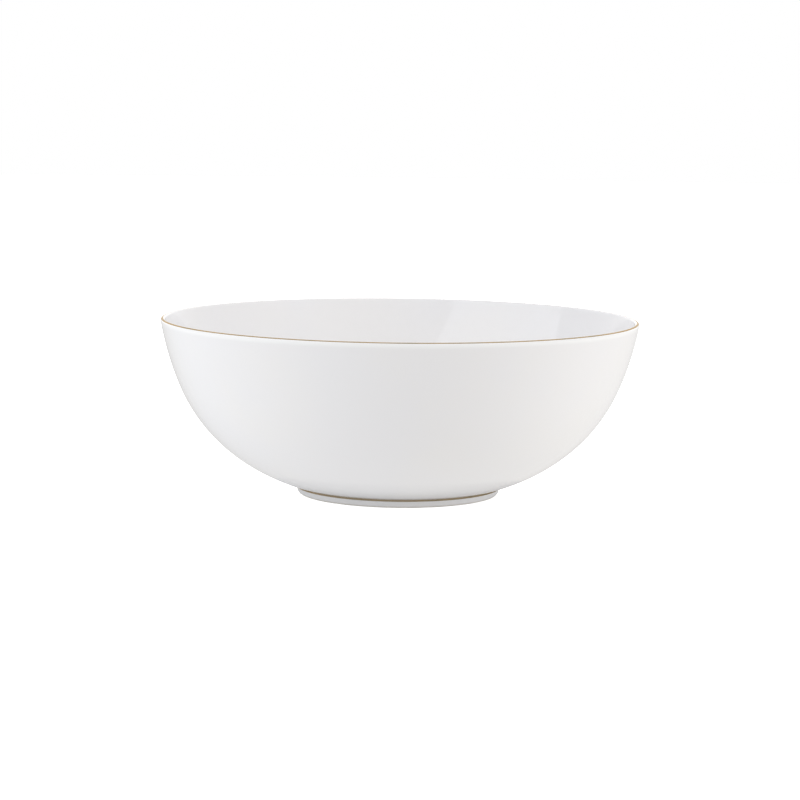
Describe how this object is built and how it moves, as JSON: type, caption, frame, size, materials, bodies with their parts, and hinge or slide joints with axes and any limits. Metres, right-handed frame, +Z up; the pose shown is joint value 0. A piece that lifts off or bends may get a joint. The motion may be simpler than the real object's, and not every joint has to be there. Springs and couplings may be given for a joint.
{
  "type": "serving bowl",
  "caption": "Wide, deep round serving bowl in thin white glazed porcelain on a low foot ring, with a fine gold line along the lip and another along the top of the foot.",
  "frame": {"origin": "on the table under the centre of the foot, which is the bottom centre of the bowl's box", "axes": "+Z up the bowl's axis of symmetry, towards the lip; +X and +Y lie in the table's plane, and either may face the viewer because the bowl is round"},
  "size_m": [0.25, 0.25, 0.092],
  "materials": {
    "porcelain": "unglazed white porcelain, fine and matt, seen only on the foot ring's standing edge",
    "glaze": "clear glossy glaze over white porcelain, smooth with a very faint waviness",
    "gold": "burnished gold lustre line, soft gloss, slightly brown"
  },
  "bodies": {
    "root": {"bowl_wall": "porcelain", "foot_ring": "porcelain", "outer_glaze": "glaze", "inner_glaze": "glaze", "foot_glaze": "glaze", "base_glaze": "glaze", "rim_gold_line": "gold", "foot_gold_line": "gold"}
  },
  "joints": []
}
